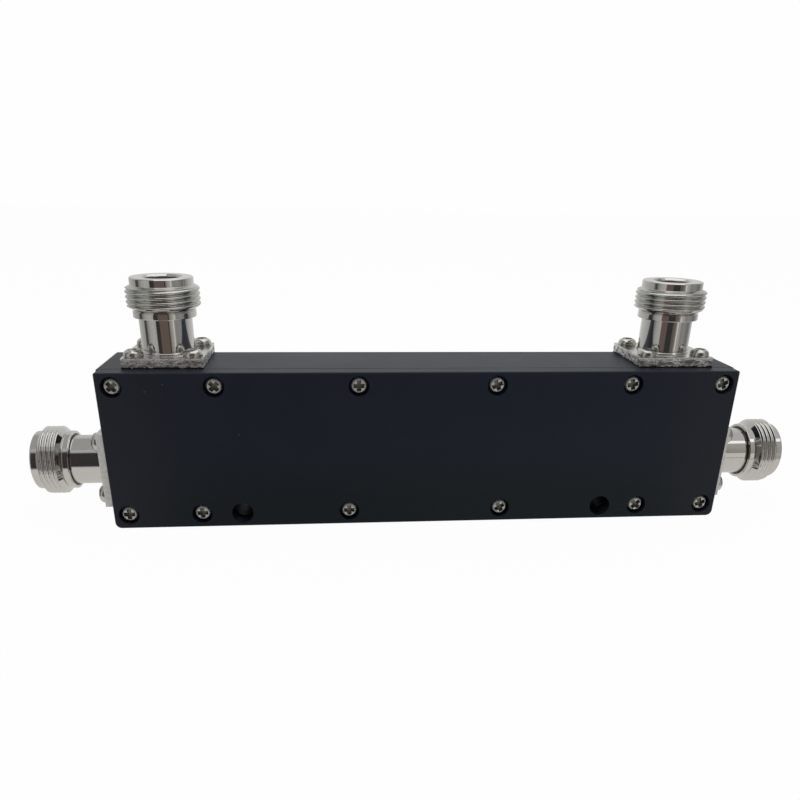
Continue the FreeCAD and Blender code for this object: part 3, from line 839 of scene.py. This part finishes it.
# What is cut out of a head: a cross that gets narrower towards its floor
def makeRecess(sizes, shape):
    high = sizes["headHeight"]
    deep = sizes["recessDepth"]
    width = shape["recessWidth"] * 2 * sizes["headRadius"]
    reach = (sizes["recessSpan"] * 2 * sizes["headRadius"] - width) / 2
    taper = shape["recessTaper"]
    recess = addPrimitive(bpy.ops.mesh.primitive_cube_add, size=1, location=(0, 0, high),
                          scale=(width, width, 2 * deep))
    startEdit()
    pickFaces(lambda normal: abs(normal.z) < facing)
    bpy.ops.mesh.extrude_faces_move(TRANSFORM_OT_shrink_fatten={"value": reach})
    pickVerts(lambda co: co.z < high)
    bpy.ops.transform.resize(value=(taper, taper, 1), center_override=(0, 0, high - deep))
    turnOutwards()
    endEdit()
    return recess


# A pan head screw with the underside of its head on z = 0
def makeScrew(name, sizes, shape, finish, recessFinish):
    radius = sizes["headRadius"]
    high = sizes["headHeight"]
    rim = sizes["rim"]
    screw = addPrimitive(bpy.ops.mesh.primitive_cylinder_add, vertices=shape["sides"], radius=radius,
                         depth=rim, location=(0, 0, rim / 2))
    screw.name = name
    dome = [(radius, rim)]
    for step in range(1, shape["domeSteps"] + 1):
        angle = math.pi / 2 * step / shape["domeSteps"]
        across = sizes["flat"] + (radius - sizes["flat"]) * math.cos(angle)
        dome.append((across, rim + (high - rim) * math.sin(angle)))
    startEdit()
    pickFaces(lambda normal: normal.z > facing)
    for start, end in zip(dome, dome[1:]):
        extrudeStep(bpy.ops.mesh.extrude_region_move, start, end)
    pickFaces(lambda normal: normal.z < -facing)
    bpy.ops.mesh.inset(thickness=radius - sizes["shankRadius"])
    bpy.ops.mesh.extrude_region_move(TRANSFORM_OT_translate={"value": (0, 0, -sizes["length"])})
    endEdit()
    recess = makeRecess(sizes, shape)
    screw.data.materials.append(finish)
    recess.data.materials.append(recessFinish)
    combine(screw, recess, "DIFFERENCE")
    bevelSharp(screw, shape["edgeRound"])
    return screw


# Copies of a master screw, joined to the one piece that stands for a node
def placeScrews(master, places, name, nodeName):
    copies = [copyPiece(master, master.name + "Copy", place) for place in places]
    screws = joinPieces(copies, name)
    finishPiece(screws, nodeName)
    smoothShade(screws)


# Rows of cover screws: height, then place along X in millimetres and turn of each recess
coverRows = {
    "depth": 8.8 * mm,              # counterbore floors, in front of the middle plane
    "upper": (33.1 * mm, [(-68.4, 40), (-46.9, 45), (-15.5, 0), (15.5, 25), (46.9, 10), (68.4, 25)]),
    "lower": (3.3 * mm, [(-68.4, 0), (-51.9, 2), (-18.0, 0), (18.0, 30), (51.9, 45), (68.4, 20)]),
}

# Turns of the recesses on the flanges in degrees, different for each screw
flangeTurns = {"first": 23, "perScrew": 31, "perJack": 47}

# The cover screws' recesses get the nickel painted dark as shade
masterCover = makeScrew("coverScrew", coverScrew, headShape, plainFinishes["screwNickel"],
                        plainFinishes["recessShadeNickel"])
places = []
for height, row in (coverRows["upper"], coverRows["lower"]):
    for x, degrees in row:
        seat = Matrix.Translation((x * mm, -coverRows["depth"], height))
        places.append(seat @ turnAbout("X", 90) @ turnAbout("Z", degrees))
placeScrews(masterCover, places, "screws_cover", "cover_screws")
removePiece(masterCover)

masterFlange = makeScrew("flangeScrew", flangeScrew, headShape, plainFinishes["brightScrewNickel"],
                         plainFinishes["brightScrewNickel"])
reach = shellSizes["holeSpacing"] / 2
corners = ((-reach, -reach), (reach, -reach), (reach, reach), (-reach, reach))
for jack, name in enumerate(jackNames):
    places = []
    for screw, (x, y) in enumerate(corners):
        seat = jackPlace(name) @ Matrix.Translation((x, y, shellSizes["flangeThickness"]))
        degrees = flangeTurns["first"] + flangeTurns["perScrew"] * screw + flangeTurns["perJack"] * jack
        places.append(seat @ turnAbout("Z", degrees))
    placeScrews(masterFlange, places, "screws_" + name, "flange_screws_" + name)
removePiece(masterFlange)
print("screws ready")


# Finishes of the nodes that keep their own mesh

nodeFinishes = {
    "housing_body": blackSatin,
    "cover_plate": blackSatin,
    "main_line": plainFinishes["silverPlate"],
    "coupled_line": plainFinishes["silverPlate"],
    "line_support_left": plainFinishes["whiteFluoroplastic"],
    "line_support_right": plainFinishes["whiteFluoroplastic"],
}
for name in jackNames:
    nodeFinishes["insulator_" + name] = plainFinishes["whiteFluoroplastic"]
    nodeFinishes["contact_" + name] = plainFinishes["goldPlate"]
for nodeName, material in nodeFinishes.items():
    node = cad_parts[nodeName]
    node.data.materials.clear()
    node.data.materials.append(material)
print("node finishes ready")


# Stage: white floor and surroundings, one overhead panel, cards that only the metal mirrors

studio = {
    "floorSide": 4.0,
    "floorColour": (0.86, 0.86, 0.86),
    "floorRoughness": 0.8,
    "floorSpecular": 0.1,
    "floorGlow": 0.965,             # share of plain white that the camera sees on the floor
    "seenWhite": 0.99,
    "ambient": 0.62,
    "panelPower": 1.5,
    "panelSide": 0.55,
    "panelPlace": (0.0, -0.05, 0.70),
}


def makeFloor():
    floor = addPrimitive(bpy.ops.mesh.primitive_plane_add, size=studio["floorSide"], location=(0, 0, 0))
    floor.name = "studio_floor"
    floor.visible_glossy = False
    material, tree, shader, place = newMaterial("paleFloor")
    feed(tree, studio["floorColour"], shader.inputs["Base Color"])
    feed(tree, studio["floorRoughness"], shader.inputs["Roughness"])
    feed(tree, studio["floorSpecular"], shader.inputs["Specular IOR Level"])
    path = addNode(tree, "ShaderNodeLightPath")
    glow = addNode(tree, "ShaderNodeEmission")
    white = addNode(tree, "ShaderNodeMixShader")
    output = [node for node in tree.nodes if node.type == "OUTPUT_MATERIAL"][0]
    share = mathNode(tree, "MULTIPLY", path.outputs["Is Camera Ray"], studio["floorGlow"])
    feed(tree, share, white.inputs["Fac"])
    feed(tree, shader.outputs["BSDF"], white.inputs[1])
    feed(tree, glow.outputs["Emission"], white.inputs[2])
    feed(tree, white.outputs["Shader"], output.inputs["Surface"])
    floor.data.materials.append(material)


# Cards that only the metal mirrors, three upright in front of the object and three flat overhead.
# A size is a width and a height, or a width and a depth where the card lies flat.
studioCards = {
    "darkCard": {
        "middle": (-0.097, -0.38, 0.168), "size": (0.416, 0.524), "tilt": 90,
        "level": (0.042, 0.040, 0.039),
    },
    "brownCard": {
        "middle": (-0.052, -0.17, 0.010), "size": (0.110, 0.200), "tilt": 90,
        "level": (0.150, 0.110, 0.097),
    },
    "whiteCard": {
        "middle": (0.060, 0.085, 0.70), "size": (0.60, 0.83), "tilt": 0,
        "level": (1.2, 1.2, 1.2),
    },
    "greyCard": {
        "middle": (-0.385, 0.145, 0.70), "size": (0.27, 1.03), "tilt": 0,
        "level": (0.40, 0.40, 0.39),
    },
    "paleCard": {
        "middle": (0.290, -0.38, -0.035), "size": (0.06, 0.15), "tilt": 90,
        "level": (0.72, 0.70, 0.68),
    },
    "sideCard": {
        "middle": (0.535, -0.40, 0.70), "size": (0.20, 0.22), "tilt": 0,
        "level": (1.3, 1.3, 1.3),
    },
}


def makeCard(name, values):
    deselectAll()
    tilt = (math.radians(values["tilt"]), 0, 0)
    bpy.ops.mesh.primitive_plane_add(size=1, location=values["middle"], rotation=tilt)
    card = bpy.context.object
    card.name = name
    card.scale = (*values["size"], 1)
    bpy.ops.object.transform_apply(location=True, rotation=True, scale=True)
    material = bpy.data.materials.new(name)
    material.use_nodes = True
    tree = material.node_tree
    tree.nodes.clear()
    glow = addNode(tree, "ShaderNodeEmission")
    output = addNode(tree, "ShaderNodeOutputMaterial")
    feed(tree, values["level"], glow.inputs["Color"])
    feed(tree, glow.outputs["Emission"], output.inputs["Surface"])
    card.data.materials.append(material)
    card.visible_camera = False
    card.visible_diffuse = False
    card.visible_transmission = False
    card.visible_shadow = False


# What the bright metal mirrors: degrees to the right of the front, and how bright it is there
roomBands = [
    (-180, 0.76), (-160, 0.62), (-126, 0.50), (-110, 0.43), (-96, 0.38), (-92, 0.08), (-82, 0.06),
    (-78, 0.22), (-66, 0.41), (-48, (0.49, 0.49, 0.46)), (-33, 0.44), (4, 0.12),
    (16, (0.13, 0.12, 0.105)), (26, (0.25, 0.23, 0.21)), (32, (0.40, 0.38, 0.36)),
    (40, (0.46, 0.44, 0.42)), (46, (0.40, 0.38, 0.36)), (52, 0.26), (66, 0.30), (76, 0.27),
    (84, 0.21), (98, 0.20), (106, 0.32), (122, 0.52), (150, 0.66), (180, 0.76),
]
roomHeights = {
    "low": -16,                     # the bands reach from here to there, in degrees above the horizon
    "high": 48,
    "blend": 5,
    "horizon": (0.49, 0.51),        # share of the way up, from underfoot to overhead
    "underfoot": (0.67, 0.655, 0.635),
    "overhead": 0.54,
}


# White for the camera, an even level as light, and the room's bands for mirrored rays
def makeWorld():
    world = bpy.data.worlds.new("studioRoom")
    bpy.context.scene.world = world
    world.use_nodes = True
    tree = world.node_tree
    tree.nodes.clear()
    path = addNode(tree, "ShaderNodeLightPath")
    parts = splitPlace(tree, addNode(tree, "ShaderNodeTexCoord").outputs["Generated"])
    around = mathNode(tree, "ARCTAN2", parts["X"], mathNode(tree, "MULTIPLY", parts["Y"], -1))
    position = mathNode(tree, "ADD", mathNode(tree, "DIVIDE", around, 2 * math.pi), 0.5)
    rise = mathNode(tree, "ARCSINE", parts["Z"])
    height = mathNode(tree, "ADD", mathNode(tree, "DIVIDE", rise, math.pi), 0.5)
    edge = roomHeights["blend"] / 180
    low = (roomHeights["low"] + 90) / 180
    high = (roomHeights["high"] + 90) / 180
    below, above = roomHeights["horizon"]
    bands = addRamp(tree, position, [((angle + 180) / 360, value) for angle, value in roomBands])
    inside = addRamp(tree, height, [(low - edge, 0.0), (low, 1.0), (high, 1.0), (high + edge, 0.0)])
    ends = addRamp(tree, height, [(below, roomHeights["underfoot"]), (above, roomHeights["overhead"])])
    room = mixColours(tree, inside, ends, bands)
    lit = mixColours(tree, path.outputs["Is Glossy Ray"], (studio["ambient"],) * 3, room)
    seen = mixColours(tree, path.outputs["Is Camera Ray"], lit, (studio["seenWhite"],) * 3)
    light = addNode(tree, "ShaderNodeBackground")
    output = addNode(tree, "ShaderNodeOutputWorld")
    feed(tree, seen, light.inputs["Color"])
    feed(tree, light.outputs["Background"], output.inputs["Surface"])


def makePanel():
    lamp = bpy.data.lights.new("overheadPanel", "AREA")
    lamp.energy = studio["panelPower"]
    lamp.size = studio["panelSide"]
    holder = bpy.data.objects.new("overheadPanel", lamp)
    holder.location = studio["panelPlace"]
    holder.visible_glossy = False
    bpy.context.scene.collection.objects.link(holder)


cameraValues = {
    "place": (-0.021139, -0.171097, 0.074393),
    "angles": (65.9098, -1.0797, -5.3882),
    "sensor": 36,
    "lens": 33.4029,
    "shift": (-0.007082, 0.141657),
    "nearest": 0.01,
}


def makeCamera():
    camera = bpy.data.cameras.new("photoCamera")
    camera.sensor_width = cameraValues["sensor"]
    camera.lens = cameraValues["lens"]
    camera.shift_x, camera.shift_y = cameraValues["shift"]
    camera.clip_start = cameraValues["nearest"]
    holder = bpy.data.objects.new("photoCamera", camera)
    holder.location = cameraValues["place"]
    holder.rotation_euler = [math.radians(angle) for angle in cameraValues["angles"]]
    bpy.context.scene.collection.objects.link(holder)
    bpy.context.scene.camera = holder


makeFloor()
for cardName, values in studioCards.items():
    makeCard(cardName, values)
makeWorld()
makePanel()
makeCamera()
bpy.context.scene.view_settings.view_transform = "Standard"
print("stage ready")
